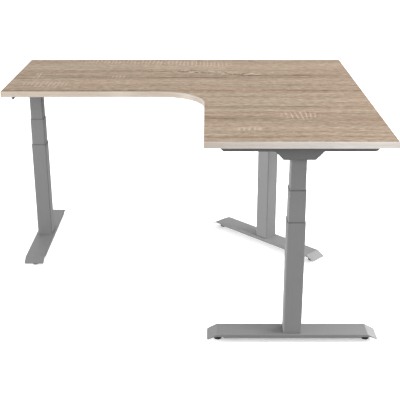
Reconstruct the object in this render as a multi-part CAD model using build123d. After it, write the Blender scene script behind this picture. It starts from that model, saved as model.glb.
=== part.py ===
"""Height-adjustable L-shaped standing desk on three telescopic legs.

Frame: millimetres, +X to the user's right along the long side, +Y to the back, +Z up.
Origin: on the floor, below the centre of the desk's bounding box.
The desk is drawn with its work surface 850 mm above the floor.
Each leg has its own frame: column centre at the origin, foot along local X and the outer
side of the desk towards local -Y.
"""
import math
import os

from build123d import *

os.makedirs("parts", exist_ok=True)

# ---------------------------------------------------------------- driving dimensions
DESK_WIDTH = 1600.0
DESK_DEPTH = 1450.0
WING_DEPTH = 700.0
INNER_RADIUS = 195.0
OUTER_RADIUS = 2.0
BOARD = 25.0
SURFACE_Z = 850.0
BAND = 2.0
BAND_EASE = 0.8

# leg name: column centre x, y and turn of the leg frame in degrees
LEGS = {
    "left": (-709.5, 353.0, -90.0),
    "front": (450.0, -630.0, 0.0),
    "corner": (410.0, 307.0, 135.0),
}

FOOT_LENGTH = 676.0
FOOT_TOP_LENGTH = 595.0
FOOT_WIDTH = 89.0
FOOT_TIP_Z = 18.0
FOOT_SIDE_Z = 24.0
FOOT_TOP_Z = 40.0
FOOT_SHEET = 3.0
FOOT_TIP = 6.0
FOOT_NOTCH_X = (275.0, 308.0)
FOOT_NOTCH_Z = 29.0
FOOT_SIDE_RADIUS = 2.0
FOOT_END_RADIUS = 6.0

LOW_TUBE = 70.5
MID_TUBE = 65.5
TOP_TUBE = 60.5
TUBE_WALL = 1.5
TUBE_RADIUS = 4.5
LOW_TUBE_TOP_Z = 512.0
MID_TUBE_BOTTOM_Z = 176.0
MID_TUBE_TOP_Z = 640.0
TOP_TUBE_BOTTOM_Z = 306.0
COLLAR_LIP = 2.4
COLLAR_DEPTH = 20.0
COLLAR_GAP = 0.3
GLIDE_WIDTH = 30.0
GLIDE_HEIGHT = 45.0
GLIDE_STANDS_OUT = 0.8
GLIDE_STARTS = (5.0, 56.0)
BASE_PLATE = 8.0
BASE_BOLT_SPACING = 40.0

BRACKET_LENGTH = 608.0
BRACKET_CHAMFER = 26.0
BRACKET_DROP = 25.0
BRACKET_HALF_WIDTH = 47.0
BRACKET_RADIUS = 4.0
BRACKET_SHEET = 3.0
HOUSING_BOTTOM_Z = 767.5
HOUSING_WIDTH = 118.0
HOUSING_TOP_WIDTH = 180.0
HOUSING_LIP = 13.0
SHAFT_GAP = 2.0

RAIL_WIDTH = 30.0
RAIL_HEIGHT = 30.0
RAIL_WALL = 2.0
RAIL_OFFSET = 77.0
RAIL_OVERLAP = 19.0
LEFT_RAIL_END_X = 325.0
FRONT_RAIL_END_Y = (210.0, 228.0)
CORNER_PLATE_X = (250.0, 560.0)
CORNER_PLATE_Y = (140.0, 460.0)

DRIVE_SCREW_R = 7.0
DRIVE_SCREW_BOTTOM_Z = 303.0
HOLLOW_SCREW_R = 13.0
HOLLOW_SCREW_BORE_R = 9.0
HOLLOW_SCREW_BOTTOM_Z = 175.0
HOLLOW_HEAD_R = 17.0
LOW_PUSH_R = 18.0
MID_PUSH_R = 22.0
PUSH_WALL = 2.0
PUSH_GAP = 1.0
LOW_PUSH_TOP_Z = 415.0
LOW_NUT_HEIGHT = 22.0
MID_CAP_Z = 545.0
MID_CAP_HEIGHT = 25.0
MID_CAP_R = 25.0
BEARING_SHELF = 6.0
CLEARANCE = 0.3

LEVELLER_X = 295.0
LEVELLER_PAD_R = 16.5
LEVELLER_PAD_HEIGHT = 9.0
LEVELLER_HEX = 16.0
LEVELLER_HEX_TOP_Z = 23.0
LEVELLER_STUD_R = 4.0
LEVELLER_TOP_Z = 36.0
LEVELLER_EASE = 2.0
BOSS_R = 10.0

GEARBOX_X = 26.0
GEARBOX_Y = (-44.0, 30.0)
GEARBOX_TOP_Z = 818.0
GEARBOX_SOCKET_Z = 787.0
GEARBOX_RADIUS = 6.0
MOTOR_R = 18.0
MOTOR_AXIS_Z = 803.0
MOTOR_END_Y = 125.0
MOTOR_EASE = 2.0

WOOD_SCREW_R = 2.5
WOOD_SCREW_BITE = 16.0
WOOD_SCREW_HEAD_R = 6.0
WOOD_SCREW_HEAD = 3.5
FLANGE_SCREW_X = (-280.0, -150.0, 150.0, 280.0)
FLANGE_SCREW_Y = 22.0
BEAM_BOLT_R = 3.0
BEAM_BOLT_HEAD_R = 5.5
BEAM_BOLT_HEAD = 4.0
BEAM_BOLT_PLACES = (12.0, 40.0)
FOOT_BOLT_R = 4.0
FOOT_BOLT_HEAD_R = 6.5
FOOT_BOLT_HEAD = 5.0

CONTROL_BOX = (250.0, 100.0, 40.0)
CONTROL_BOX_RADIUS = 8.0
INLET = (27.0, 20.0)
SOCKET = (14.0, 10.0)
SOCKET_DEPTH = 10.0
SIGNAL_SOCKETS = 4
SOCKET_PITCH = 30.0
CONTROL_BOX_XY = (-125.0, 530.0)
HANDSET = (90.0, 40.0, 14.0)
HANDSET_XY = (-345.0, 112.0)
HANDSET_RADIUS = 5.0
BUTTON_R = 4.5
BUTTON_LENGTH = 6.0
BUTTON_PROUD = 1.7
BUTTON_SPACING = 40.0
BUTTON_TRAVEL_ROOM = 2.0
BUTTON_EASE = 0.5

# ---------------------------------------------------------------- derived dimensions
UNDERSIDE_Z = SURFACE_Z - BOARD
FLANGE_Z = UNDERSIDE_Z - BRACKET_SHEET
RAIL_BOTTOM_Z = FLANGE_Z - RAIL_HEIGHT
HOUSING_FLOOR_Z = HOUSING_BOTTOM_Z + BRACKET_SHEET
FOOT_ROOF_Z = FOOT_TOP_Z - FOOT_SHEET
PLATE_TOP_Z = FOOT_TOP_Z + BASE_PLATE


# ---------------------------------------------------------------- helpers
def block(x, y, z):
    """Box between the low and high values of three pairs."""
    size = [high - low for low, high in (x, y, z)]
    centre = [(low + high) / 2 for low, high in (x, y, z)]
    return Pos(*centre) * Box(*size)


def rod(radius, z_low, z_high, x=0.0, y=0.0):
    """Vertical round bar."""
    height = z_high - z_low
    return Pos(x, y, z_low + height / 2) * Cylinder(radius, height)


def pipe(outer_r, inner_r, z_low, z_high):
    """Vertical round tube."""
    return rod(outer_r, z_low, z_high) - rod(inner_r, z_low, z_high)


def square_bar(side, radius, z_low, z_high):
    """Vertical square bar with rounded corners."""
    face = Pos(0, 0, z_low) * RectangleRounded(side, side, radius)
    return extrude(face, z_high - z_low)


def square_tube(side, z_low, z_high, wall=TUBE_WALL, radius=TUBE_RADIUS):
    """Vertical square tube with rounded corners."""
    inside = square_bar(side - 2 * wall, radius - wall, z_low, z_high)
    return square_bar(side, radius, z_low, z_high) - inside


def plate_xz(points, y_low, y_high, radius=0.0):
    """Upright plate: an outline of (x, z) points, thick along Y, with its corners eased."""
    outline = Polyline(*points, close=True)
    face = make_face(outline.edges())
    if radius:
        face = fillet(face.vertices(), radius)
    return Pos(0, y_high, 0) * extrude(Plane.XZ * face, y_high - y_low)


def group(shapes):
    """Separate solids kept together as one compound."""
    return Compound(children=[solid for shape in shapes for solid in shape.solids()])


def save(name, shape):
    shape.label = name
    export_step(shape, f"parts/{name}.step")


def in_leg(leg, shape):
    """Shape drawn in a leg's own frame, moved to that leg."""
    x, y, turn = LEGS[leg]
    return Pos(x, y, 0) * Rot(0, 0, turn) * shape


# ---------------------------------------------------------------- tabletop
def l_outline():
    """L-shaped outline of the work surface, corner at the back right."""
    right, back = DESK_WIDTH / 2, DESK_DEPTH / 2
    inner_x, inner_y = right - WING_DEPTH, back - WING_DEPTH
    corners = [
        (-right, back),
        (right, back),
        (right, -back),
        (inner_x, -back),
        (inner_x, inner_y),
        (-right, inner_y),
    ]
    face = make_face(Polyline(*corners, close=True).edges())
    inner = [v for v in face.vertices() if (v.X - inner_x) ** 2 + (v.Y - inner_y) ** 2 < 1]
    face = fillet(inner, INNER_RADIUS)
    outer = [
        v for v in face.vertices()
        if any((v.X - x) ** 2 + (v.Y - y) ** 2 < 1 for x, y in corners)
    ]
    return fillet(outer, OUTER_RADIUS)


def make_tabletop():
    outline = l_outline()
    core_face = offset(outline, amount=-BAND)
    whole = extrude(Pos(0, 0, UNDERSIDE_Z) * outline, BOARD)
    rims = [e for e in whole.edges() if abs(e.bounding_box().size.Z) < 1e-6]
    core = extrude(Pos(0, 0, UNDERSIDE_Z) * core_face, BOARD)
    band = chamfer(rims, BAND_EASE) - core
    for x, y in wood_screw_places():
        core -= rod(WOOD_SCREW_R, UNDERSIDE_Z, UNDERSIDE_Z + WOOD_SCREW_BITE, x, y)
    save("tabletop", core)
    save("edge_band", band)


# ---------------------------------------------------------------- screws under the top
def flange_screw_places(leg):
    """Wood screws through one bracket's flange, as desk x, y."""
    x0, y0, turn = LEGS[leg]
    angle = math.radians(turn)
    for x in FLANGE_SCREW_X:
        yield (
            x0 + x * math.cos(angle) - FLANGE_SCREW_Y * math.sin(angle),
            y0 + x * math.sin(angle) + FLANGE_SCREW_Y * math.cos(angle),
        )


def wood_screw_places():
    return [place for leg in LEGS for place in flange_screw_places(leg)]


def rail_lines():
    """Each rail as beam name, fixed coordinate and span along its length."""
    left_x, left_y, _ = LEGS["left"]
    front_x, front_y, _ = LEGS["front"]
    for side in (-1, 1):
        yield "left", left_y + side * RAIL_OFFSET, (left_x - RAIL_OVERLAP, LEFT_RAIL_END_X)
    for side, end in zip((-1, 1), FRONT_RAIL_END_Y):
        yield "front", front_x + side * RAIL_OFFSET, (front_y - RAIL_OVERLAP, end)


def beam_bolt_places():
    """Bolts through the rail ends into the brackets, as desk x, y."""
    for beam, across, (start, end) in rail_lines():
        for inset in BEAM_BOLT_PLACES:
            for along in (start + inset, end - inset):
                yield (along, across) if beam == "left" else (across, along)


def make_screws():
    screws = []
    for x, y in wood_screw_places():
        head = rod(WOOD_SCREW_HEAD_R, FLANGE_Z - WOOD_SCREW_HEAD, FLANGE_Z, x, y)
        shank = rod(WOOD_SCREW_R, FLANGE_Z, UNDERSIDE_Z + WOOD_SCREW_BITE, x, y)
        screws.append(head + shank)
    for x, y in beam_bolt_places():
        head = rod(BEAM_BOLT_HEAD_R, RAIL_BOTTOM_Z - BEAM_BOLT_HEAD, RAIL_BOTTOM_Z, x, y)
        shank = rod(BEAM_BOLT_R, RAIL_BOTTOM_Z, UNDERSIDE_Z, x, y)
        screws.append(head + shank)
    save("frame_screws", group(screws))


# ---------------------------------------------------------------- crossbeams
def make_beams():
    rails = {"left": [], "front": []}
    for beam, across, span in rail_lines():
        width = (across - RAIL_WIDTH / 2, across + RAIL_WIDTH / 2)
        inner = (width[0] + RAIL_WALL, width[1] - RAIL_WALL)
        outside_z = (RAIL_BOTTOM_Z, FLANGE_Z)
        inside_z = (RAIL_BOTTOM_Z + RAIL_WALL, FLANGE_Z - RAIL_WALL)
        if beam == "left":
            rail = block(span, width, outside_z) - block(span, inner, inside_z)
        else:
            rail = block(width, span, outside_z) - block(inner, span, inside_z)
        for x, y in beam_bolt_places():
            rail -= rod(BEAM_BOLT_R, RAIL_BOTTOM_Z, FLANGE_Z, x, y)
        rails[beam].append(rail)
    for beam, pieces in rails.items():
        save(f"{beam}_beam", group(pieces))


# ---------------------------------------------------------------- feet and levellers
def foot_outline(inset, z_low, z_high):
    """Side outline of the foot between two heights, inset from the outer faces."""
    slope = (FOOT_LENGTH - FOOT_TOP_LENGTH) / 2 / (FOOT_TOP_Z - FOOT_TIP_Z)
    inset_x = inset * math.hypot(1, slope)

    def half(z):
        return FOOT_TOP_LENGTH / 2 + slope * (FOOT_TOP_Z - z) - inset_x

    return [
        (-half(z_low), z_low),
        (half(z_low), z_low),
        (half(z_high), z_high),
        (-half(z_high), z_high),
    ]


def foot_trim_outline():
    """What is cut away below the foot: raised over the levellers, down to the tips."""
    inner, outer = FOOT_NOTCH_X
    tip = FOOT_LENGTH / 2 - FOOT_TIP
    half = [
        (inner - FOOT_NOTCH_Z + FOOT_SIDE_Z, FOOT_SIDE_Z),
        (inner, FOOT_NOTCH_Z),
        (outer, FOOT_NOTCH_Z),
        (tip, FOOT_TIP_Z),
        (tip, 0),
    ]
    return half + [(-x, z) for x, z in reversed(half)]


def base_bolt_places():
    half = BASE_BOLT_SPACING / 2
    return [(x, y) for x in (-half, half) for y in (-half, half)]


def make_foot(leg):
    """Folded sheet-steel foot, open below, with welded leveller bosses."""
    half = FOOT_WIDTH / 2
    outer = plate_xz(foot_outline(0, FOOT_TIP_Z, FOOT_TOP_Z), -half, half)
    plan = Pos(0, 0, FOOT_TIP_Z) * RectangleRounded(FOOT_LENGTH, FOOT_WIDTH, FOOT_END_RADIUS)
    outer &= extrude(plan, FOOT_TOP_Z - FOOT_TIP_Z)
    long_edges = outer.edges().filter_by(Axis.X).group_by(Axis.Z)[-1]
    outer = fillet(long_edges, FOOT_SIDE_RADIUS)
    inner_half = half - FOOT_SHEET
    inner = plate_xz(foot_outline(FOOT_SHEET, FOOT_TIP_Z, FOOT_ROOF_Z), -inner_half, inner_half)
    foot = outer - inner - plate_xz(foot_trim_outline(), -half, half)
    for x in (-LEVELLER_X, LEVELLER_X):
        foot += rod(BOSS_R, FOOT_SIDE_Z, FOOT_ROOF_Z, x)
        foot -= rod(LEVELLER_STUD_R + CLEARANCE, FOOT_SIDE_Z, FOOT_ROOF_Z, x)
    for x, y in base_bolt_places():
        foot -= rod(FOOT_BOLT_R + CLEARANCE, FOOT_ROOF_Z, FOOT_TOP_Z, x, y)
    save(f"{leg}_foot", in_leg(leg, foot))


def make_foot_bolts(leg):
    bolts = []
    for x, y in base_bolt_places():
        head = rod(FOOT_BOLT_HEAD_R, FOOT_ROOF_Z - FOOT_BOLT_HEAD, FOOT_ROOF_Z, x, y)
        shank = rod(FOOT_BOLT_R, FOOT_ROOF_Z, PLATE_TOP_Z, x, y)
        bolts.append(in_leg(leg, head + shank))
    save(f"{leg}_foot_bolts", group(bolts))


def make_levellers(leg):
    """Screw-in levelling foot at each end: pad, hexagon and threaded stud."""
    for index, x in enumerate((-LEVELLER_X, LEVELLER_X), start=1):
        pad = rod(LEVELLER_PAD_R, 0, LEVELLER_PAD_HEIGHT, x)
        pad = chamfer(pad.edges().group_by(Axis.Z)[-1], LEVELLER_EASE)
        hexagon_face = Pos(x, 0, LEVELLER_PAD_HEIGHT) * RegularPolygon(LEVELLER_HEX / 2, 6)
        nut = extrude(hexagon_face, LEVELLER_HEX_TOP_Z - LEVELLER_PAD_HEIGHT)
        stud = rod(LEVELLER_STUD_R, LEVELLER_PAD_HEIGHT, LEVELLER_TOP_Z, x)
        save(f"{leg}_leveller_{index}", in_leg(leg, pad + nut + stud))


# ---------------------------------------------------------------- telescopic columns
def glide_blocks(side, bottom):
    """Glide pads set in windows of an inner tube's four faces, at two heights."""
    outer = side / 2 + GLIDE_STANDS_OUT
    inner = side / 2 - TUBE_WALL
    half = GLIDE_WIDTH / 2
    for start in GLIDE_STARTS:
        height = (bottom + start, bottom + start + GLIDE_HEIGHT)
        for turn in range(0, 360, 90):
            yield Rot(0, 0, turn) * block((inner, outer), (-half, half), height)


def collar(outer_side, inner_side, top):
    """Plastic guide ring: a lip on the tube's top and a sleeve inside it."""
    bottom, radius = top - COLLAR_DEPTH, TUBE_RADIUS - TUBE_WALL
    bore = square_bar(inner_side + 2 * COLLAR_GAP, radius, bottom, top + COLLAR_LIP)
    sleeve = square_bar(outer_side - 2 * TUBE_WALL, radius, bottom, top)
    lip = square_bar(outer_side - COLLAR_GAP, TUBE_RADIUS, top, top + COLLAR_LIP)
    return sleeve + lip - bore


def make_columns(leg):
    low = square_tube(LOW_TUBE, FOOT_TOP_Z, LOW_TUBE_TOP_Z)
    low += square_bar(LOW_TUBE - 2 * TUBE_WALL, TUBE_RADIUS - TUBE_WALL, FOOT_TOP_Z, PLATE_TOP_Z)
    for x, y in base_bolt_places():
        low -= rod(FOOT_BOLT_R, FOOT_TOP_Z, PLATE_TOP_Z, x, y)
    save(f"{leg}_low_tube", in_leg(leg, low))
    save(f"{leg}_low_collar", in_leg(leg, collar(LOW_TUBE, MID_TUBE, LOW_TUBE_TOP_Z)))

    mid = square_tube(MID_TUBE, MID_TUBE_BOTTOM_Z, MID_TUBE_TOP_Z)
    mid_glides = list(glide_blocks(MID_TUBE, MID_TUBE_BOTTOM_Z))
    save(f"{leg}_mid_tube", in_leg(leg, mid - mid_glides))
    save(f"{leg}_mid_collar", in_leg(leg, collar(MID_TUBE, TOP_TUBE, MID_TUBE_TOP_Z)))
    save(f"{leg}_mid_glides", group([in_leg(leg, g) for g in mid_glides]))

    top = square_tube(TOP_TUBE, TOP_TUBE_BOTTOM_Z, HOUSING_BOTTOM_Z)
    top_glides = list(glide_blocks(TOP_TUBE, TOP_TUBE_BOTTOM_Z))
    save(f"{leg}_top_tube", in_leg(leg, top - top_glides))
    save(f"{leg}_top_glides", group([in_leg(leg, g) for g in top_glides]))


# ---------------------------------------------------------------- lifting spindles
def make_low_push_tube(leg):
    """Tube on the base plate that holds the lower spindle nut."""
    nut_z = LOW_PUSH_TOP_Z - LOW_NUT_HEIGHT
    tube = pipe(LOW_PUSH_R, LOW_PUSH_R - PUSH_WALL, PLATE_TOP_Z, nut_z)
    nut = pipe(LOW_PUSH_R, HOLLOW_SCREW_R + CLEARANCE, nut_z, LOW_PUSH_TOP_Z)
    save(f"{leg}_low_push_tube", in_leg(leg, tube + nut))


def make_mid_carrier(leg):
    """Bottom plate, push tube, bearing shelf and nut cap of the middle stage."""
    plate_side = MID_TUBE - 2 * TUBE_WALL
    plate_top = MID_TUBE_BOTTOM_Z + BASE_PLATE
    plate = square_bar(plate_side, TUBE_RADIUS - TUBE_WALL, MID_TUBE_BOTTOM_Z, plate_top)
    plate -= rod(LOW_PUSH_R + PUSH_GAP, MID_TUBE_BOTTOM_Z, plate_top)
    tube = pipe(MID_PUSH_R, MID_PUSH_R - PUSH_WALL, plate_top, MID_CAP_Z)
    shelf_low = MID_CAP_Z - 2 * BEARING_SHELF
    shelf = pipe(MID_PUSH_R, HOLLOW_SCREW_R + CLEARANCE, shelf_low, shelf_low + BEARING_SHELF)
    cap = pipe(MID_CAP_R, DRIVE_SCREW_R + CLEARANCE, MID_CAP_Z, MID_CAP_Z + MID_CAP_HEIGHT)
    save(f"{leg}_mid_carrier", in_leg(leg, plate + tube + shelf + cap))


def make_spindles(leg):
    head_low = MID_CAP_Z - BEARING_SHELF + CLEARANCE
    head_high = MID_CAP_Z - CLEARANCE
    hollow = rod(HOLLOW_SCREW_R, HOLLOW_SCREW_BOTTOM_Z, head_high)
    hollow += rod(HOLLOW_HEAD_R, head_low, head_high)
    hollow -= rod(HOLLOW_SCREW_BORE_R, HOLLOW_SCREW_BOTTOM_Z, head_high)
    save(f"{leg}_hollow_screw", in_leg(leg, hollow))
    drive = rod(DRIVE_SCREW_R, DRIVE_SCREW_BOTTOM_Z, GEARBOX_SOCKET_Z - CLEARANCE)
    save(f"{leg}_drive_screw", in_leg(leg, drive))


# ---------------------------------------------------------------- top brackets and motors
def make_gearmotor(leg):
    """Right-angle gearbox on the column head with its motor lying inwards."""
    gearbox = block((-GEARBOX_X, GEARBOX_X), GEARBOX_Y, (HOUSING_FLOOR_Z, GEARBOX_TOP_Z))
    gearbox = fillet(gearbox.edges().filter_by(Axis.Z), GEARBOX_RADIUS)
    gearbox -= rod(DRIVE_SCREW_R + CLEARANCE, HOUSING_FLOOR_Z, GEARBOX_SOCKET_Z)
    length = MOTOR_END_Y - GEARBOX_Y[1]
    can = Pos(0, GEARBOX_Y[1] + length / 2, MOTOR_AXIS_Z) * Rot(90, 0, 0) * Cylinder(MOTOR_R, length)
    can = chamfer(can.edges().group_by(Axis.Y)[-1], MOTOR_EASE)
    save(f"{leg}_gearmotor", in_leg(leg, gearbox + can))


def bracket():
    """Bar, drop plate and motor housing folded from sheet steel, in the leg's frame."""
    half, chamfered = BRACKET_LENGTH / 2, BRACKET_LENGTH / 2 - BRACKET_CHAMFER
    bar_z = UNDERSIDE_Z - BRACKET_DROP
    neck, foot = HOUSING_TOP_WIDTH / 2, HOUSING_WIDTH / 2
    outline = [
        (-half, UNDERSIDE_Z),
        (-chamfered, bar_z),
        (-neck, bar_z),
        (-foot, HOUSING_BOTTOM_Z),
        (foot, HOUSING_BOTTOM_Z),
        (neck, bar_z),
        (chamfered, bar_z),
        (half, UNDERSIDE_Z),
    ]
    inner_y = BRACKET_HALF_WIDTH
    outer_y = -BRACKET_HALF_WIDTH - BRACKET_SHEET
    shape = plate_xz(outline, outer_y, -inner_y, BRACKET_RADIUS)
    shape += block((-half, half), (outer_y, inner_y), (FLANGE_Z, UNDERSIDE_Z))
    floor = block((-foot, foot), (-inner_y, inner_y), (HOUSING_BOTTOM_Z, HOUSING_FLOOR_Z))
    shape += floor - rod(DRIVE_SCREW_R + SHAFT_GAP, HOUSING_BOTTOM_Z, HOUSING_FLOOR_Z)
    lip = (HOUSING_BOTTOM_Z, HOUSING_BOTTOM_Z + HOUSING_LIP)
    shape += block((-foot, foot), (inner_y - BRACKET_SHEET, inner_y), lip)
    for side in (-foot, foot - BRACKET_SHEET):
        shape += block((side, side + BRACKET_SHEET), (-inner_y, inner_y), (HOUSING_FLOOR_Z, FLANGE_Z))
    return shape


def make_bracket(leg):
    shape = in_leg(leg, bracket())
    if leg == "corner":
        shape += block(CORNER_PLATE_X, CORNER_PLATE_Y, (FLANGE_Z, UNDERSIDE_Z))
    for x, y in flange_screw_places(leg):
        shape -= rod(WOOD_SCREW_R, FLANGE_Z, UNDERSIDE_Z, x, y)
    for x, y in beam_bolt_places():
        shape -= rod(BEAM_BOLT_R, FLANGE_Z, UNDERSIDE_Z, x, y)
    save(f"{leg}_bracket", shape)


# ---------------------------------------------------------------- electrics
def make_control_box():
    """Control box under the top, with a mains inlet and motor and handset sockets."""
    length, depth, height = CONTROL_BOX
    box = fillet(Box(length, depth, height).edges().filter_by(Axis.Z), CONTROL_BOX_RADIUS)
    front = -depth / 2
    inlet_x = -length / 2 + INLET[0]
    box -= Pos(inlet_x, front, 0) * Box(INLET[0], 2 * SOCKET_DEPTH, INLET[1])
    for index in range(SIGNAL_SOCKETS):
        x = inlet_x + 2 * INLET[0] + index * SOCKET_PITCH
        box -= Pos(x, front, 0) * Box(SOCKET[0], 2 * SOCKET_DEPTH, SOCKET[1])
    x, y = CONTROL_BOX_XY
    save("control_box", Pos(x, y, UNDERSIDE_Z - height / 2) * box)


def make_handset():
    """Handset under the front edge, with an up and a down button in its front face."""
    length, depth, height = HANDSET
    x, y = HANDSET_XY
    centre_z = UNDERSIDE_Z - height / 2
    front = y - depth / 2
    body = Pos(x, y, centre_z) * fillet(Box(length, depth, height).edges().filter_by(Axis.Z), HANDSET_RADIUS)
    half = BUTTON_SPACING / 2
    for name, button_x in (("button_down", x - half), ("button_up", x + half)):
        pocket_length = BUTTON_LENGTH - BUTTON_PROUD + BUTTON_TRAVEL_ROOM
        pocket_y = front + pocket_length / 2
        pocket = Cylinder(BUTTON_R + CLEARANCE, pocket_length)
        body -= Pos(button_x, pocket_y, centre_z) * Rot(90, 0, 0) * pocket
        button_y = front - BUTTON_PROUD + BUTTON_LENGTH / 2
        button = Pos(button_x, button_y, centre_z) * Rot(90, 0, 0) * Cylinder(BUTTON_R, BUTTON_LENGTH)
        save(name, chamfer(button.edges().group_by(Axis.Y)[0], BUTTON_EASE))
    save("handset", body)


# ---------------------------------------------------------------- build
make_tabletop()
make_screws()
make_beams()
for leg_name in LEGS:
    make_foot(leg_name)
    make_foot_bolts(leg_name)
    make_levellers(leg_name)
    make_columns(leg_name)
    make_low_push_tube(leg_name)
    make_mid_carrier(leg_name)
    make_spindles(leg_name)
    make_gearmotor(leg_name)
    make_bracket(leg_name)
make_control_box()
make_handset()
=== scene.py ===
import math

import bmesh
import bpy
from mathutils import Matrix, Vector


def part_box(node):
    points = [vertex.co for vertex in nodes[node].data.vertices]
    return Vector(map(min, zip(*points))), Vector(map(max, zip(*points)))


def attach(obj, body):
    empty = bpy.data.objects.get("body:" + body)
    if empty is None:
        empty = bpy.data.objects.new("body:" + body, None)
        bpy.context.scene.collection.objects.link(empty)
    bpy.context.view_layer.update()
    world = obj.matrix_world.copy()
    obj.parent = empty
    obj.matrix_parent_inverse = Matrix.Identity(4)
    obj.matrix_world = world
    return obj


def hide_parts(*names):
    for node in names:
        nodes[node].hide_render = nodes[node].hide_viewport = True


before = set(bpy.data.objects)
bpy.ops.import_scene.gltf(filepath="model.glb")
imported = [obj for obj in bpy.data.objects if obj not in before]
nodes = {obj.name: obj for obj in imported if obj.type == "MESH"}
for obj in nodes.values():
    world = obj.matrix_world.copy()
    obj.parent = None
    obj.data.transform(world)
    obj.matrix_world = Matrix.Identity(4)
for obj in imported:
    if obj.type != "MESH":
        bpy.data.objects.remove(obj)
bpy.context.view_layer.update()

LEGS = ("left", "front", "corner")
RIGHT_FACE_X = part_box("edge_band")[1].x


# ------------------------------------------------------------------ node-tree helper
class Shader:
    """Builds one material's node tree with short calls."""

    def __init__(self, name):
        self.material = bpy.data.materials.new(name)
        self.material.use_nodes = True
        self.tree = self.material.node_tree
        self.tree.nodes.clear()
        self.output = self.add("ShaderNodeOutputMaterial")
        self.surface = self.add("ShaderNodeBsdfPrincipled")
        self.link(self.surface.outputs[0], self.output.inputs[0])
        self.place = self.add("ShaderNodeTexCoord").outputs["Object"]

    def link(self, source, target):
        self.tree.links.new(source, target)

    def add(self, kind, inputs=None, **settings):
        node = self.tree.nodes.new(kind)
        for key, value in settings.items():
            setattr(node, key, value)
        for key, value in (inputs or {}).items():
            if isinstance(value, bpy.types.NodeSocket):
                self.link(value, node.inputs[key])
            else:
                node.inputs[key].default_value = value
        return node

    def calc(self, operation, a, b=0.0, c=0.0):
        return self.add("ShaderNodeMath", {0: a, 1: b, 2: c}, operation=operation).outputs[0]

    def split(self, vector):
        return self.add("ShaderNodeSeparateXYZ", {0: vector}).outputs

    def join(self, x, y, z=0.0):
        return self.add("ShaderNodeCombineXYZ", {0: x, 1: y, 2: z}).outputs[0]

    def stretch(self, x, y, z=0.0, by=(1, 1, 1), shift=(0, 0, 0)):
        """The point (x, y, z) scaled by one factor on each axis, then shifted."""
        parts = [self.calc("MULTIPLY_ADD", p, s, t) for p, s, t in zip((x, y, z), by, shift)]
        return self.join(*parts)

    def noise(self, vector, scale=1.0, detail=2.0, roughness=0.5, distortion=0.0):
        inputs = {
            "Vector": vector,
            "Scale": scale,
            "Detail": detail,
            "Roughness": roughness,
            "Distortion": distortion,
        }
        return self.add("ShaderNodeTexNoise", inputs).outputs[0]

    def ramp(self, value, stops):
        """Colour ramp; each stop is a position and a linear colour."""
        node = self.add("ShaderNodeValToRGB", {0: value})
        band = node.color_ramp
        while len(band.elements) < len(stops):
            band.elements.new(0.5)
        for element, (position, colour) in zip(band.elements, stops):
            element.position = position
            element.color = (*colour, 1.0)
        return node.outputs[0]

    def mix(self, factor, a, b, blend="MIX"):
        node = self.add("ShaderNodeMix", data_type="RGBA", blend_type=blend)
        for index, value in ((0, factor), (6, a), (7, b)):
            if isinstance(value, bpy.types.NodeSocket):
                self.link(value, node.inputs[index])
            elif isinstance(value, tuple):
                node.inputs[index].default_value = (*value, 1.0)
            else:
                node.inputs[index].default_value = value
        return node.outputs[2]

    def tint(self, colour, mask, shade, unshaded=(1.0, 1.0, 1.0)):
        """The colour times one factor where the mask is 1 and another where it is 0."""
        return self.mix(1.0, colour, self.mix(mask, unshaded, shade), "MULTIPLY")

    def smooth(self, value, low, high):
        """0 below low, 1 above high, eased between them."""
        inputs = {"Value": value, "From Min": low, "From Max": high}
        node = self.add("ShaderNodeMapRange", inputs, interpolation_type="SMOOTHSTEP")
        return node.outputs[0]

    def bump(self, height, distance, strength):
        inputs = {"Height": height, "Distance": distance, "Strength": strength}
        self.link(self.add("ShaderNodeBump", inputs).outputs[0], self.surface.inputs["Normal"])

    def set(self, **values):
        """Sockets of the main shader, named with underscores for spaces."""
        for key, value in values.items():
            socket = self.surface.inputs[key.replace("_", " ")]
            if isinstance(value, bpy.types.NodeSocket):
                self.link(value, socket)
            else:
                socket.default_value = value


def wear(shader, scale, low, high):
    """Patchy handling marks: a soft mask from 0 to 1."""
    return shader.smooth(shader.noise(shader.place, scale, 4.0, 0.6), low, high)


# ------------------------------------------------------------------ materials
def gauss(shader, value, centre, width):
    """Bell curve round a centre."""
    offset = shader.calc("MULTIPLY_ADD", value, 1 / width, -centre / width)
    square = shader.calc("MULTIPLY", offset, offset)
    return shader.calc("EXPONENT", shader.calc("MULTIPLY", square, -1.0))


def patch(shader, x, y, centre, size):
    """Soft oval patch on the board."""
    across = gauss(shader, x, centre[0], size[0])
    return shader.calc("MULTIPLY", across, gauss(shader, y, centre[1], size[1]))


def total(shader, values):
    """Sum of the values."""
    result = values[0]
    for value in values[1:]:
        result = shader.calc("ADD", result, value)
    return result


# darker growth bands across the board: centre y, half width and depth
DARK_BANDS = (
    (0.690, 0.012, 0.14),
    (0.440, 0.020, 0.10),
    (0.345, 0.030, 0.24),
    (0.300, 0.006, 0.34),
    (0.150, 0.012, 0.12),
    (0.045, 0.014, 0.42),
    (-0.060, 0.010, 0.12),
    (-0.231, 0.011, 0.34),
    (-0.330, 0.006, 0.20),
    (-0.415, 0.034, 0.24),
    (-0.600, 0.010, 0.16),
    (-0.660, 0.008, 0.22),
    (-0.710, 0.008, 0.18),
)
# paler bands between them
PALE_BANDS = (
    (0.560, 0.060, 0.10),
    (0.215, 0.040, 0.06),
    (-0.130, 0.045, 0.08),
    (-0.285, 0.016, 0.14),
    (-0.630, 0.014, 0.14),
    (-0.560, 0.022, 0.10),
)
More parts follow.
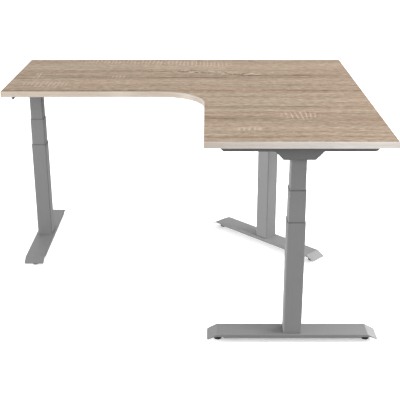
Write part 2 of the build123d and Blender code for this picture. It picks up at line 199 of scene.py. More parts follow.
# groups of cross saw marks: centre x, y and half sizes
SAW_PATCHES = (
    (-0.620, 0.170, 0.120, 0.056),
    (-0.170, 0.655, 0.200, 0.050),
    (0.110, 0.610, 0.130, 0.060),
    (0.480, -0.365, 0.080, 0.060),
    (0.270, -0.560, 0.055, 0.024),
    (-0.690, 0.340, 0.024, 0.070),
    (-0.310, 0.322, 0.050, 0.030),
    (-0.440, 0.665, 0.100, 0.035),
)
SAW_PITCH = 0.0195
SAW_WANDER = 1.3
SAW_STRAY = 0.30
# swirling figure round the knots: centre x, y and half sizes
KNOTS = (
    (0.040, 0.430, 0.090, 0.030),
    (0.165, 0.405, 0.075, 0.040),
    (0.290, 0.375, 0.090, 0.030),
)
# short dark streaks: centre x, y, half sizes and slope
DARK_STREAKS = (
    (-0.740, 0.290, 0.050, 0.008, 0.00),
    (0.240, 0.372, 0.045, 0.009, 0.35),
    (0.340, 0.352, 0.060, 0.012, -0.10),
    (0.480, 0.303, 0.110, 0.005, 0.00),
    (0.555, 0.358, 0.050, 0.010, 0.00),
    (0.120, 0.305, 0.100, 0.005, 0.03),
    (-0.030, 0.310, 0.090, 0.006, 0.02),
    (0.490, 0.152, 0.050, 0.007, 0.00),
)
RING_PITCH = 130.0
OAK_TONE_BASE = -0.34
OAK_TONES = (
    (0.20, (0.068, 0.045, 0.030)),
    (0.42, (0.126, 0.090, 0.063)),
    (0.62, (0.175, 0.132, 0.098)),
    (0.82, (0.228, 0.180, 0.138)),
    (1.00, (0.285, 0.235, 0.187)),
)
OAK_WARM = (1.06, 0.985, 0.94)
OAK_COOL = (0.985, 1.01, 0.965)


def saw_marks(s, x, y):
    """Cross saw marks: thin pale lines along Y, grouped in patches and broken by the grain."""
    drift = s.noise(s.stretch(x, y, by=(9.0, 6.0, 0)), 1.0, 1.0)
    phase = s.calc("MULTIPLY_ADD", x, 1 / SAW_PITCH, s.calc("MULTIPLY", drift, SAW_WANDER))
    off_centre = s.calc("ABSOLUTE", s.calc("SUBTRACT", s.calc("FRACT", phase), 0.5))
    line = s.smooth(off_centre, 0.26, 0.08)
    pick = s.noise(s.join(s.calc("FLOOR", phase), s.calc("MULTIPLY", y, 11.0)), 1.7, 1.0)
    grip = s.smooth(s.noise(s.stretch(x, y, by=(18.0, 70.0, 0)), 1.0, 2.0), 0.25, 0.50)
    places = total(s, [patch(s, x, y, p[:2], p[2:]) for p in SAW_PATCHES])
    scatter = s.noise(s.stretch(x, y, by=(4.0, 9.0, 0), shift=(3.0, 1.0, 2.0)), 1.0, 1.0)
    stray = s.smooth(scatter, 0.60, 0.80)
    where = s.calc("MULTIPLY_ADD", stray, SAW_STRAY, s.smooth(places, 0.15, 0.75))
    shown = s.calc("MULTIPLY", s.smooth(pick, 0.26, 0.44), grip)
    return s.calc("MULTIPLY", line, s.calc("MULTIPLY", shown, where))


def slanted(s, x, y, streak):
    """Soft dark streak that climbs with a slope."""
    centre_x, centre_y, half_x, half_y, slope = streak
    level = s.calc("MULTIPLY_ADD", x, -slope, s.calc("ADD", y, slope * centre_x))
    return s.calc("MULTIPLY", gauss(s, x, centre_x, half_x), gauss(s, level, centre_y, half_y))


def make_oak():
    """Matt light oak decor: grain along X, dark growth bands, knots and cross saw marks."""
    s = Shader("oak_decor")
    x, y, _ = s.split(s.place)
    wander = s.noise(s.stretch(x, y, by=(1.3, 3.0, 0)), 1.0, 2.0)
    ripple = s.noise(s.stretch(x, y, by=(11.0, 22.0, 0)), 1.0, 2.0)
    knots = total(s, [patch(s, x, y, k[:2], k[2:]) for k in KNOTS])
    swirl = s.noise(s.stretch(x, y, by=(11.0, 24.0, 0)), 1.0, 3.0, 0.6, 0.5)
    # the grain follows Y, bent a little everywhere and more round the knots
    bend = s.calc("MULTIPLY_ADD", wander, 0.034, -0.017)
    bend = s.calc("MULTIPLY_ADD", ripple, 0.012, bend)
    round_knots = s.calc("MULTIPLY", s.calc("MULTIPLY_ADD", swirl, 0.14, -0.07), knots)
    grain_y = total(s, [y, bend, -0.006, round_knots])

    figure = s.noise(s.stretch(x, grain_y, by=(1.1, 19.0, 0)), 1.0, 3.0, 0.55)
    streak = s.noise(s.stretch(x, grain_y, by=(5.0, 62.0, 0)), 1.0, 3.0, 0.6, 0.3)
    fleck = s.noise(s.stretch(x, grain_y, by=(34.0, 92.0, 0)), 1.0, 2.0, 0.6, 0.5)
    fibre = s.noise(s.stretch(x, grain_y, by=(70.0, 620.0, 0)), 1.0, 2.0, 0.6)
    pores = s.smooth(s.noise(s.stretch(x, grain_y, by=(40.0, 900.0, 0)), 1.0, 2.0), 0.60, 0.72)

    dark = total(s, [s.calc("MULTIPLY", gauss(s, grain_y, c, w), d) for c, w, d in DARK_BANDS])
    pale = total(s, [s.calc("MULTIPLY", gauss(s, grain_y, c, w), d) for c, w, d in PALE_BANDS])
    patchy = s.smooth(s.noise(s.stretch(x, grain_y, by=(2.6, 9.0, 0)), 1.0, 2.0), 0.30, 0.62)
    dark = s.calc("MULTIPLY", dark, s.calc("MULTIPLY_ADD", patchy, 0.8, 0.45))
    streaks = total(s, [slanted(s, x, y, k) for k in DARK_STREAKS])
    rings = s.calc("SINE", s.calc("MULTIPLY_ADD", swirl, 18.0, s.calc("MULTIPLY", grain_y, RING_PITCH)))
    knot_rings = s.calc("MULTIPLY", knots, rings)
    saw = saw_marks(s, x, y)

    tone = OAK_TONE_BASE
    for value, weight in (
        (figure, 0.45),
        (streak, 0.54),
        (fleck, 0.95),
        (fibre, 0.22),
        (pale, 0.90),
        (dark, -0.60),
        (x, -0.07),
        (pores, -0.10),
        (streaks, -0.34),
        (knot_rings, 0.62),
        (saw, 0.34),
    ):
        tone = s.calc("MULTIPLY_ADD", value, weight, tone)

    hue = s.noise(s.stretch(x, grain_y, by=(1.4, 26.0, 0), shift=(5.0, 2.0, 0)), 1.0, 3.0)
    colour = s.tint(s.ramp(tone, OAK_TONES), s.smooth(hue, 0.34, 0.66), OAK_COOL, OAK_WARM)
    s.set(Base_Color=colour, Specular_IOR_Level=0.10)
    rough = s.calc("MULTIPLY_ADD", streak, -0.14, 0.76)
    s.set(Roughness=s.calc("MULTIPLY_ADD", pores, 0.15, rough))
    relief = s.calc("MULTIPLY_ADD", pores, -0.5, s.calc("MULTIPLY_ADD", saw, 0.4, fibre))
    s.bump(relief, 0.00012, 0.6)
    return s.material


EDGE_TONES = (
    (0.25, (0.520, 0.440, 0.362)),
    (0.50, (0.650, 0.570, 0.490)),
    (0.75, (0.760, 0.690, 0.620)),
)
EDGE_BLOTCH = (0.80, 0.76, 0.70)
# tints of the edge strip that stand in for the photo's lighting
EDGE_LEFT = (0.535, 0.520, 0.500)
EDGE_RIGHT = (0.650, 0.690, 0.750)
NOTCH_CENTRE = (0.045, -0.07)
NOTCH_SIZE = (0.085, 0.12)
NOTCH_PAINTED_SHADE = (0.70, 0.70, 0.70)
RIGHT_FACE_PAINTED_SHADE = (0.60, 0.58, 0.56)


def make_edge_strip():
    """Pale oak edge strip: faint grain along the edge, with painted shade set by position."""
    s = Shader("edge_strip")
    x, y, z = s.split(s.place)
    along = s.calc("ADD", x, y)
    broad = s.noise(s.stretch(along, z, by=(5.0, 120.0, 0)), 1.0, 3.0, 0.55)
    fine = s.noise(s.stretch(along, z, by=(26.0, 700.0, 0)), 1.0, 3.0, 0.6)
    blotch = s.noise(s.stretch(x, y, z, by=(5.0, 5.0, 5.0)), 1.0, 2.0)
    tone = s.calc("MULTIPLY_ADD", fine, 0.35, s.calc("MULTIPLY_ADD", broad, 0.45, 0.10))
    # painted shade: the strip darker to the left and slightly cooler to the right
    colour = s.tint(s.ramp(tone, EDGE_TONES), s.smooth(x, -0.1, 0.5), EDGE_RIGHT, EDGE_LEFT)
    # painted shade: the strip darker round the notch
    colour = s.tint(colour, patch(s, x, y, NOTCH_CENTRE, NOTCH_SIZE), NOTCH_PAINTED_SHADE)
    # painted shade: the right end face darker, where the key light falls
    right_face = s.smooth(x, RIGHT_FACE_X - 0.004, RIGHT_FACE_X - 0.0005)
    colour = s.tint(colour, right_face, RIGHT_FACE_PAINTED_SHADE)
    colour = s.mix(s.calc("MULTIPLY", s.smooth(blotch, 0.5, 0.8), 0.15), colour, EDGE_BLOTCH)
    s.set(Base_Color=colour, Specular_IOR_Level=0.35)
    s.set(Roughness=s.calc("MULTIPLY_ADD", fine, 0.15, 0.38))
    s.bump(fine, 0.00008, 0.5)
    return s.material


COAT_GREYS = (0.142, 0.160, 0.24, 0.22)
# the coat of brackets and rails, darker: painted shade for their place below the board, matched to the
# tone there; the coat of brackets and rails, darker to match the photo's tone below the board
BRACKET_PAINTED_SHADE = 0.74


def make_powder_coat(name, tone=1.0):
    """Silver-grey powder coat: fine orange peel, slight tone drift, paler rubbed patches; a tone below
    1 is painted shade.
    """
    s = Shader(name)
    peel = s.noise(s.place, 900.0, 2.0, 0.5)
    grit = s.noise(s.place, 2600.0, 2.0, 0.6)
    drift = s.noise(s.place, 5.0, 3.0, 0.5)
    rub = wear(s, 45.0, 0.52, 0.80)
    # a tone below 1 darkens every grey: painted shade
    dark, pale, speck, worn = ((level * tone,) * 3 for level in COAT_GREYS)
    colour = s.mix(drift, dark, pale)
    colour = s.mix(s.calc("MULTIPLY", s.smooth(grit, 0.55, 0.75), 0.22), colour, speck)
    colour = s.mix(s.calc("MULTIPLY", rub, 0.10), colour, worn)
    s.set(Base_Color=colour, Metallic=0.12, Specular_IOR_Level=0.28)
    s.set(Roughness=s.calc("MULTIPLY_ADD", rub, -0.08, s.calc("MULTIPLY_ADD", grit, 0.12, 0.42)))
    s.bump(s.calc("MULTIPLY_ADD", grit, 0.35, peel), 0.00010, 0.55)
    return s.material


def make_plastic(name, dark, pale, rough=0.5, grain=1400.0, depth=0.00006):
    """Moulded or painted surface with a fine grain and scuffs, between two greys."""
    s = Shader(name)
    texture = s.noise(s.place, grain, 2.0, 0.6)
    scuff = wear(s, 90.0, 0.58, 0.78)
    lift = s.calc("MULTIPLY_ADD", texture, 0.5, s.calc("MULTIPLY", scuff, 0.35))
    colour = s.mix(lift, dark, pale)
    s.set(Base_Color=colour, Specular_IOR_Level=0.45)
    s.set(Roughness=s.calc("MULTIPLY_ADD", texture, 0.14, rough - 0.05))
    s.bump(texture, depth, 0.6)
    return s.material


def make_zinc():
    """Zinc-plated steel: crystalline blotches and fine brushing."""
    s = Shader("zinc_plate")
    x, y, z = s.split(s.place)
    blotch = s.noise(s.place, 160.0, 3.0, 0.55)
    brushed = s.noise(s.stretch(x, y, z, by=(900.0, 900.0, 60.0)), 1.0, 2.0)
    colour = s.mix(blotch, (0.46, 0.47, 0.49), (0.66, 0.665, 0.67))
    s.set(Base_Color=colour, Metallic=1.0)
    s.set(Roughness=s.calc("MULTIPLY_ADD", blotch, 0.22, s.calc("MULTIPLY_ADD", brushed, 0.10, 0.22)))
    s.bump(brushed, 0.00003, 0.4)
    return s.material


oak = make_oak()
edge_strip = make_edge_strip()
powder = make_powder_coat("powder_coat")
# darker copy of the coat for brackets and rails: painted shade under the board
painted_shade_bracket_powder = make_powder_coat("bracket_powder_coat", BRACKET_PAINTED_SHADE)
zinc = make_zinc()
black_plastic = make_plastic("black_plastic", (0.012, 0.012, 0.013), (0.045, 0.045, 0.047))
guide_plastic = make_plastic("guide_plastic", (0.060, 0.060, 0.060), (0.100, 0.100, 0.100), 0.55)
button_plastic = make_plastic("button_plastic", (0.22, 0.22, 0.225), (0.34, 0.34, 0.345), 0.45)
rubber = make_plastic("pad_rubber", (0.010, 0.010, 0.010), (0.030, 0.030, 0.030), 0.72, 700.0, 0.00012)
motor_paint = make_plastic("motor_paint", (0.020, 0.020, 0.021), (0.055, 0.055, 0.057), 0.4, 1100.0)
display_glass = make_plastic(
    "display_glass", (0.006, 0.007, 0.008), (0.014, 0.015, 0.016), 0.12, 500.0, 0.00001
)
arrow_print = make_plastic("arrow_print", (0.62, 0.62, 0.62), (0.80, 0.80, 0.80), 0.5, 900.0, 0.00003)


# ------------------------------------------------------------------ CAD nodes keep their shape
def material_for(node):
    """The CAD node's material, by its name."""
    if node == "tabletop":
        return oak
    if node == "edge_band":
        return edge_strip
    # brackets and beams take the darker copy of the coat, painted shade under the board
    if node.endswith(("_bracket", "_beam")):
        return painted_shade_bracket_powder
    if node.endswith(("_foot", "_tube")) and not node.endswith("push_tube"):
        return powder
    if node.endswith(("collar", "glides")):
        return guide_plastic
    if node.endswith("gearmotor"):
        return motor_paint
    if "leveller" in node or node in ("control_box", "handset"):
        return black_plastic
    if node.startswith("button"):
        return button_plastic
    return zinc


for node_name, node_object in nodes.items():
    node_object.data.materials.clear()
    node_object.data.materials.append(material_for(node_name))


# ------------------------------------------------------------------ detailed small pieces
# each leg's column centre x, y and turn in degrees
LEG_PLACES = {
    "left": (-0.7095, 0.353, -90.0),
    "front": (0.450, -0.630, 0.0),
    "corner": (0.410, 0.307, 135.0),
}
ROUND_STEPS = 48
SHARP_ANGLE = 28.0
THREAD_PITCH = 0.00125


def leg_place(leg):
    """The leg's own frame: X along its foot, Z up, origin on the floor under its column."""
    x, y, turn = LEG_PLACES[leg]
    return Matrix.Translation((x, y, 0.0)) @ Matrix.Rotation(math.radians(turn), 4, "Z")


def shifted(place, x, y, z=0.0):
    """The place moved along its own axes."""
    return place @ Matrix.Translation((x, y, z))


def front_place(x, y, z):
    """Place on a face that looks to the front: X right, Y up, Z out of the face."""
    return Matrix.Translation((x, y, z)) @ Matrix.Rotation(math.radians(90), 4, "X")


def disc(radius, height, sides=0, steps=24):
    """Ring of points; with sides it is a polygon and the radius reaches its flats."""
    points = []
    for step in range(steps):
        angle = math.tau * step / steps
        reach = radius
        if sides:
            reach = radius / math.cos(angle % (math.tau / sides) - math.pi / sides)
        points.append(Vector((reach * math.cos(angle), reach * math.sin(angle), height)))
    return points


def panel(half_x, half_y, radius, height, centre=(0.0, 0.0), arc=5):
    """Ring of points round a rectangle with rounded corners."""
    points = []
    for corner, (side_x, side_y) in enumerate(((1, 1), (-1, 1), (-1, -1), (1, -1))):
        for step in range(arc + 1):
            angle = math.pi / 2 * (corner + step / arc)
            x = centre[0] + side_x * (half_x - radius) + radius * math.cos(angle)
            y = centre[1] + side_y * (half_y - radius) + radius * math.sin(angle)
            points.append(Vector((x, y, height)))
    return points


def loft(mesh, place, rings, material=0):
    """Closed solid through rings of equally many points."""
    rows = [[mesh.verts.new(place @ point) for point in ring] for ring in rings]
    faces = [mesh.faces.new(rows[0][::-1]), mesh.faces.new(rows[-1])]
    count = len(rows[0])
    for lower, upper in zip(rows, rows[1:]):
        for here in range(count):
            after = (here + 1) % count
            faces.append(mesh.faces.new((lower[here], lower[after], upper[after], upper[here])))
    for face in faces:
        face.material_index = material


def block(mesh, place, low, high, ease, material=0):
    """Rectangular block with eased edges between two opposite corners."""
    half_x, half_y = (high[0] - low[0]) / 2, (high[1] - low[1]) / 2
    centre = (low[0] + half_x, low[1] + half_y)
    rings = [
        panel(half_x - inset, half_y - inset, ease, height, centre, 3)
        for inset, height in (
            (ease / 2, low[2]),
            (0.0, low[2] + ease / 2),
            (0.0, high[2] - ease / 2),
            (ease / 2, high[2]),
        )
    ]
    loft(mesh, place, rings, material)


def add_piece(name, mesh, materials, body, slot, *replaced):
    """Turns the mesh into a smooth-shaded object that rides on a body."""
    bmesh.ops.recalc_face_normals(mesh, faces=mesh.faces)
    data = bpy.data.meshes.new(name)
    mesh.to_mesh(data)
    mesh.free()
    for material in materials:
        data.materials.append(material)
    piece = bpy.data.objects.new(name, data)
    bpy.context.scene.collection.objects.link(piece)
    data.shade_smooth()
    data.set_sharp_from_angle(angle=math.radians(SHARP_ANGLE))
    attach(piece, body)
    if replaced:
        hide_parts(*replaced)


def thread(radius, root, low, high):
    """Rings of a threaded rod."""
    turns = int((high - low) / THREAD_PITCH)
    rings = [disc(root, low)]
    for turn in range(turns):
        rings.append(disc(root, low + (turn + 0.15) * THREAD_PITCH))
        rings.append(disc(radius, low + (turn + 0.50) * THREAD_PITCH))
        rings.append(disc(root, low + (turn + 0.85) * THREAD_PITCH))
    return rings + [disc(root, high - 0.0006), disc(root - 0.0006, high)]


LEVELLER_X = 0.295
# leveller profiles: radius and height of each ring
LEVELLER_SOLE = ((0.0146, 0.0), (0.0153, 0.0010), (0.0153, 0.0032))
LEVELLER_PAD = (
    (0.0156, 0.0028),
    (0.0165, 0.0036),
    (0.0165, 0.0066),
    (0.0160, 0.0080),
    (0.0150, 0.0088),
    (0.0140, 0.0090),
    (0.0134, 0.0084),
    (0.0104, 0.0084),
    (0.0096, 0.0092),
    (0.0086, 0.0092),
)
LEVELLER_HEXAGON = ((0.0063, 0.0090), (0.0069, 0.0097), (0.0069, 0.0223), (0.0063, 0.0230))
# threaded stud: outer and root radius, low and high end
LEVELLER_STUD = (0.0040, 0.0034, 0.0226, 0.0360)


def make_leveller(leg, index):
    """Levelling foot: rubber sole, dished plastic pad, steel hexagon and threaded stud."""
    place = shifted(leg_place(leg), (-LEVELLER_X, LEVELLER_X)[index - 1], 0.0)
    mesh = bmesh.new()
    loft(mesh, place, [disc(*ring, steps=ROUND_STEPS) for ring in LEVELLER_SOLE], 1)
    loft(mesh, place, [disc(*ring, steps=ROUND_STEPS) for ring in LEVELLER_PAD], 0)
    loft(mesh, place, [disc(*ring, sides=6) for ring in LEVELLER_HEXAGON], 2)
    loft(mesh, place, thread(*LEVELLER_STUD), 2)
    node = f"{leg}_leveller_{index}"
    add_piece(f"{node}_detail", mesh, (black_plastic, rubber, zinc), node, "leveller_steel", node)


def screw_head(mesh, place, radius, height, material=0):
    """Domed head with a hexagon socket, its top at the place's origin, pointing down."""
    key = radius * 0.42
    rings = [
        disc(radius, 0.0),
        disc(radius, -height * 0.55),
        disc(radius * 0.90, -height * 0.88),
        disc(radius * 0.76, -height),
        disc(key * 1.12, -height, 6),
        disc(key, -height * 0.93, 6),
        disc(key * 0.96, -height * 0.40, 6),
    ]
    loft(mesh, place, rings, material)


def bolt(mesh, place, head, shank, length):
    """Screw head below the place and a threaded shank above it."""
    screw_head(mesh, place, *head)
    loft(mesh, place, thread(*shank, 0.0, length))


FLANGE_Z = 0.822
RAIL_BOTTOM_Z = 0.792
FOOT_ROOF_Z = 0.037
BASE_TOP_Z = 0.048
FLANGE_SCREWS_X = (-0.280, -0.150, 0.150, 0.280)
FLANGE_SCREW_Y = 0.022
FOOT_BOLT_OUT = 0.020
RAIL_OFFSET = 0.077
RAIL_BOLTS_IN = (0.012, 0.040)
# each rail's fixed coordinate and its span, along X for the left pair and along Y for the front
LEFT_RAILS = ((0.353 - RAIL_OFFSET, -0.7285, 0.325), (0.353 + RAIL_OFFSET, -0.7285, 0.325))
FRONT_RAILS = ((0.450 - RAIL_OFFSET, -0.649, 0.210), (0.450 + RAIL_OFFSET, -0.649, 0.228))
# screws: head radius and height, thread's outer and root radius, length
WOOD_SCREW = ((0.0060, 0.0035), (0.0025, 0.0018), 0.019)
RAIL_BOLT = ((0.0055, 0.0040), (0.0030, 0.0025), 0.033)
FOOT_BOLT = ((0.0065, 0.0050), (0.0040, 0.0034), BASE_TOP_Z - FOOT_ROOF_Z)


def rail_ends(start, end):
    """Bolt places near both ends of a rail."""
    return [at for inset in RAIL_BOLTS_IN for at in (start + inset, end - inset)]


def make_frame_screws():
    """Wood screws in the bracket flanges and bolts up through the rail ends."""
    mesh = bmesh.new()
    for leg in LEGS:
        for x in FLANGE_SCREWS_X:
            bolt(mesh, shifted(leg_place(leg), x, FLANGE_SCREW_Y, FLANGE_Z), *WOOD_SCREW)
    spots = [(at, y) for y, start, end in LEFT_RAILS for at in rail_ends(start, end)]
    spots += [(x, at) for x, start, end in FRONT_RAILS for at in rail_ends(start, end)]
    for x, y in spots:
        bolt(mesh, Matrix.Translation((x, y, RAIL_BOTTOM_Z)), *RAIL_BOLT)
    add_piece("frame_screws_detail", mesh, (zinc,), "top", "steel", "frame_screws")


def make_foot_bolts(leg):
    """Four bolts up through the foot into the column's base plate."""
    mesh = bmesh.new()
    for x in (-FOOT_BOLT_OUT, FOOT_BOLT_OUT):
        for y in (-FOOT_BOLT_OUT, FOOT_BOLT_OUT):
            bolt(mesh, shifted(leg_place(leg), x, y, FOOT_ROOF_Z), *FOOT_BOLT)
    node = f"{leg}_foot_bolts"
    add_piece(f"{node}_detail", mesh, (zinc,), f"{leg}_lower", "steel", node)


GEARBOX_HALF = (0.026, 0.037)
GEARBOX_RADIUS = 0.006
GEARBOX_Y = -0.007
GEARBOX_LOW_Z = 0.7705
GEARBOX_HIGH_Z = 0.8180
GEARBOX_EASE = 0.0012
GEARBOX_SEAM_Z = 0.7945
GEARBOX_SEAM_DEPTH = 0.0009
SOCKET_RADIUS = 0.0073
SOCKET_TOP_Z = 0.7870
MOTOR_START_Y = 0.030
MOTOR_AXIS_Z = 0.803
MOTOR_R = 0.018
MOTOR_GROOVE_R = 0.0173
MOTOR_GROOVES = (0.0665, 0.0705)
FLANGE_HALF = (0.0225, 0.0172)
FLANGE_RADIUS = 0.005
FLANGE_PROFILE = ((0.0, 0.0), (0.0, 0.0024), (0.0006, 0.0030))
MOTOR_SCREW = (0.0026, 0.0020)
MOTOR_SCREWS_AT = (0.0188, 0.0126)
MOTOR_SCREWS_Z = 0.0028


def make_gearmotor(leg):
    """Split gearbox casing with the screw's socket, flanged motor can, end cap and screws."""
    place = leg_place(leg)
    mesh = bmesh.new()
    half_x, half_y = GEARBOX_HALF
    casing = [
        panel(half_x - inset, half_y - inset, GEARBOX_RADIUS - inset, z, (0.0, GEARBOX_Y))
        for inset, z in (
            (GEARBOX_EASE, GEARBOX_LOW_Z),
            (0.0, GEARBOX_LOW_Z + GEARBOX_EASE),
            (0.0, GEARBOX_SEAM_Z - 0.0010),
            (GEARBOX_SEAM_DEPTH, GEARBOX_SEAM_Z - 0.0004),
            (GEARBOX_SEAM_DEPTH, GEARBOX_SEAM_Z + 0.0004),
            (0.0, GEARBOX_SEAM_Z + 0.0010),
            (0.0, GEARBOX_HIGH_Z - GEARBOX_EASE),
            (GEARBOX_EASE, GEARBOX_HIGH_Z),
        )
    ]
    rim = [point.to_2d().normalized() * SOCKET_RADIUS for point in casing[0]]
    socket = [[Vector((*point, z)) for point in rim] for z in (SOCKET_TOP_Z, GEARBOX_LOW_Z)]
    loft(mesh, place, socket + casing)
    face_back = Matrix.Rotation(math.radians(-90), 4, "X")
    motor = shifted(place, 0.0, MOTOR_START_Y, MOTOR_AXIS_Z) @ face_back
    half_x, half_y = FLANGE_HALF
    flange = [panel(half_x - inset, half_y - inset, FLANGE_RADIUS, z) for inset, z in FLANGE_PROFILE]
    loft(mesh, motor, flange)
    # the can's profile: radius and distance from the flange
    can = [(0.0168, 0.0028), (0.0168, 0.0050), (MOTOR_R, 0.0060), (MOTOR_R, 0.0660)]
    for start in MOTOR_GROOVES:
        can += [(MOTOR_GROOVE_R, start), (MOTOR_GROOVE_R, start + 0.0015), (MOTOR_R, start + 0.0020)]
    can += [(MOTOR_R, 0.0900), (0.0172, 0.0935), (0.0156, 0.0950), (0.0078, 0.0950), (0.0070, 0.0936)]
    loft(mesh, motor, [disc(*ring, steps=ROUND_STEPS) for ring in can])
    facing_out = Matrix.Rotation(math.pi, 4, "X")
    out_x, out_y = MOTOR_SCREWS_AT
    for x in (-out_x, out_x):
        for y in (-out_y, out_y):
            screw_head(mesh, shifted(motor, x, y, MOTOR_SCREWS_Z) @ facing_out, *MOTOR_SCREW, 1)
    node = f"{leg}_gearmotor"
    add_piece(f"{node}_detail", mesh, (motor_paint, zinc), "top", "motor_casing", node)


RIB_COUNT = 15
RIB_PITCH = 0.010
BOX_SCREWS_AT = (0.112, 0.038)
BOX_SCREW = (0.0034, 0.0018)
# mains inlet pins and low-voltage sockets on the box's front, from the front's middle
INLET_PINS = ((-0.106, -0.001), (-0.098, 0.004), (-0.090, -0.001))
SOCKET_START_X = -0.044
SOCKET_PITCH = 0.030
SOCKET_COUNT = 4
CONTACT_PITCH = 0.0018
CONTACT_COUNT = 6
CONTACT_DEPTH = -0.0102
LAMP_X = 0.075
LAMP_PROFILE = ((0.0020, -0.0005), (0.0020, 0.0004), (0.0012, 0.0009))


def make_control_box_details():
    """Cooling ribs, corner screws, status lamp and contacts on the control box."""
    low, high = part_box("control_box")
    middle = (low + high) / 2
    place = Matrix.Translation((middle.x, middle.y, low.z))
    mesh = bmesh.new()
    for index in range(RIB_COUNT):
        x = -0.070 + index * RIB_PITCH
        block(mesh, place, (x - 0.0016, -0.030, -0.0014), (x + 0.0016, 0.030, 0.0010), 0.0012)
    out_x, out_y = BOX_SCREWS_AT
    for x in (-out_x, out_x):
        for y in (-out_y, out_y):
            screw_head(mesh, shifted(place, x, y, 0.0002), *BOX_SCREW, 1)
    front = front_place(middle.x, low.y, middle.z)
    for x, y in INLET_PINS:
        start, end = (x - 0.0010, y - 0.0026, CONTACT_DEPTH), (x + 0.0010, y + 0.0026, -0.0030)
        block(mesh, front, start, end, 0.0006, 1)
    for index in range(SOCKET_COUNT):
        centre = SOCKET_START_X + index * SOCKET_PITCH
        for step in range(CONTACT_COUNT):
            x = centre - 0.0045 + step * CONTACT_PITCH
            start, end = (x - 0.0004, -0.0030, CONTACT_DEPTH), (x + 0.0004, 0.0010, -0.0060)
            block(mesh, front, start, end, 0.0003, 1)
    loft(mesh, shifted(front, LAMP_X, 0.0), [disc(*ring) for ring in LAMP_PROFILE], 2)
    materials = (black_plastic, zinc, button_plastic)
    add_piece("control_box_details", mesh, materials, "top", "dark_plastic")


# handset rings: half width, half height and height over the face
BEZEL = (
    (0.0120, 0.0048, -0.0005),
    (0.0120, 0.0048, 0.0005),
    (0.0114, 0.0042, 0.0009),
    (0.0104, 0.0034, 0.0009),
    (0.0102, 0.0032, 0.0003),
)
WINDOW = ((0.0101, 0.0031, 0.0001), (0.0101, 0.0031, 0.0005), (0.0099, 0.0029, 0.0006))
GRIP_START_X = 0.0335
GRIP_PITCH = 0.0018
GRIP_COUNT = 5


def make_handset_details():
    """Raised bezel and display window between the buttons, and grip ribs beside them."""
    low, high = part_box("handset")
    middle = (low + high) / 2
    place = front_place(middle.x, low.y, middle.z)
    mesh = bmesh.new()
    loft(mesh, place, [panel(x, y, 0.0012, z) for x, y, z in BEZEL])
    loft(mesh, place, [panel(x, y, 0.0010, z) for x, y, z in WINDOW], 1)
    for side in (-1, 1):
        for step in range(GRIP_COUNT):
            x = side * (GRIP_START_X + step * GRIP_PITCH)
            block(mesh, place, (x - 0.0004, -0.0040, -0.0003), (x + 0.0004, 0.0040, 0.0005), 0.0003)
    add_piece("handset_details", mesh, (black_plastic, display_glass), "top", "dark_plastic")


def make_button(node, arrow_up):
    """Dished button with a raised arrow head."""
    low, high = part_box(node)
    middle = (low + high) / 2
    depth = high.y - low.y
    radius = (high.x - low.x) / 2
    place = front_place(middle.x, low.y, middle.z)
    mesh = bmesh.new()
    rings = (
        (radius, -depth),
        (radius, -0.0005),
        (radius - 0.0002, -0.0001),
        (radius - 0.0006, 0.0),
        (radius - 0.0011, -0.0002),
        (radius - 0.0024, -0.0004),
    )
    loft(mesh, place, [disc(*ring, steps=ROUND_STEPS) for ring in rings])
    up = 1 if arrow_up else -1
    arrow = [(-0.0018, -0.0010 * up), (0.0018, -0.0010 * up), (0.0, 0.0016 * up)]
    loft(mesh, place, [[Vector((x, y, z)) for x, y in arrow] for z in (-0.0006, 0.0)], 1)
    add_piece(f"{node}_detail", mesh, (button_plastic, arrow_print), node, "button_plastic", node)


for leg_name in LEGS:
    make_leveller(leg_name, 1)
    make_leveller(leg_name, 2)
    make_foot_bolts(leg_name)
    make_gearmotor(leg_name)
make_frame_screws()
make_control_box_details()
make_handset_details()
make_button("button_up", True)
make_button("button_down", False)


# ------------------------------------------------------------------ studio and camera
FLOOR_BOUNCE = (0.42, 0.42, 0.42)
FLOOR_WHITE = (0.97, 0.97, 0.97)
FLOOR_LIFT = 0.30
FLOOR_REACH = 60.0
# soft boxes: place, side length and power in watts
SOFT_BOXES = {
    "key": ((4.2, -1.2, 3.6), 2.4, 300.0),
    "front": ((3.0, -5.0, 3.0), 2.0, 110.0),
    "left": ((-4.5, -1.0, 1.0), 2.0, 350.0),
    "back": ((4.6, 2.5, 2.4), 2.4, 293.0),
}
LIGHT_TARGET = (0.1, 0.0, 0.4)


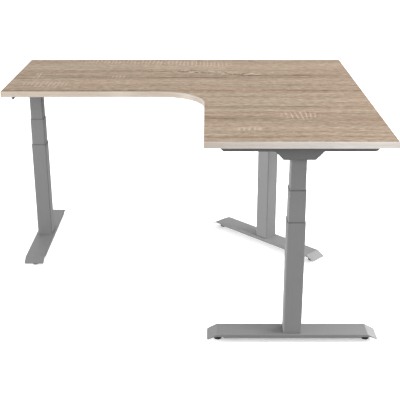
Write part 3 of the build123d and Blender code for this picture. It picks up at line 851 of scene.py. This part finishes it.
def make_floor():
    """White floor that runs far past the desk; to the camera it is lighter and glows a little."""
    s = Shader("studio_floor")
    seen = s.add("ShaderNodeLightPath").outputs["Is Camera Ray"]
    s.set(Base_Color=s.mix(seen, FLOOR_BOUNCE, FLOOR_WHITE), Specular_IOR_Level=0.0, Roughness=1.0)
    glow = s.calc("MULTIPLY", seen, FLOOR_LIFT)
    s.set(Emission_Color=(1.0, 1.0, 1.0, 1.0), Emission_Strength=glow)
    mesh = bpy.data.meshes.new("studio_floor")
    signs = ((-1, -1), (1, -1), (1, 1), (-1, 1))
    corners = [(x * FLOOR_REACH, y * FLOOR_REACH, 0) for x, y in signs]
    mesh.from_pydata(corners, [], [(0, 1, 2, 3)])
    floor = bpy.data.objects.new("studio_floor", mesh)
    mesh.materials.append(s.material)
    bpy.context.scene.collection.objects.link(floor)


def make_light(name, place, size, power):
    """Square soft box aimed at the desk."""
    data = bpy.data.lights.new(name, "AREA")
    data.shape = "SQUARE"
    data.size = size
    data.energy = power
    light = bpy.data.objects.new(name, data)
    light.location = place
    aim = Vector(LIGHT_TARGET) - Vector(place)
    light.rotation_euler = aim.to_track_quat("-Z", "Y").to_euler()
    bpy.context.scene.collection.objects.link(light)


def make_studio():
    """White surroundings, the soft boxes and plain colour handling."""
    world = bpy.data.worlds.new("studio")
    bpy.context.scene.world = world
    world.use_nodes = True
    background = world.node_tree.nodes["Background"]
    background.inputs[0].default_value = (1.0, 1.0, 1.0, 1.0)
    background.inputs[1].default_value = 1.0
    for name, settings in SOFT_BOXES.items():
        make_light(name, *settings)
    view = bpy.context.scene.view_settings
    view.view_transform = "Standard"
    view.look = "None"


CAMERA_PLACE = (0.1131, -3.5105, 1.7115)
CAMERA_PITCH = 20.197
CAMERA_LENS = 73.87
CAMERA_SHIFT = (-0.0179, -0.0369)


def make_camera():
    """Camera solved from the board, feet and columns in the photograph."""
    data = bpy.data.cameras.new("camera")
    data.sensor_width = 36.0
    data.lens = CAMERA_LENS
    data.shift_x, data.shift_y = CAMERA_SHIFT
    camera = bpy.data.objects.new("camera", data)
    camera.location = CAMERA_PLACE
    camera.rotation_euler = (math.radians(90.0 - CAMERA_PITCH), 0.0, 0.0)
    bpy.context.scene.collection.objects.link(camera)
    bpy.context.scene.camera = camera


make_floor()
make_studio()
make_camera()
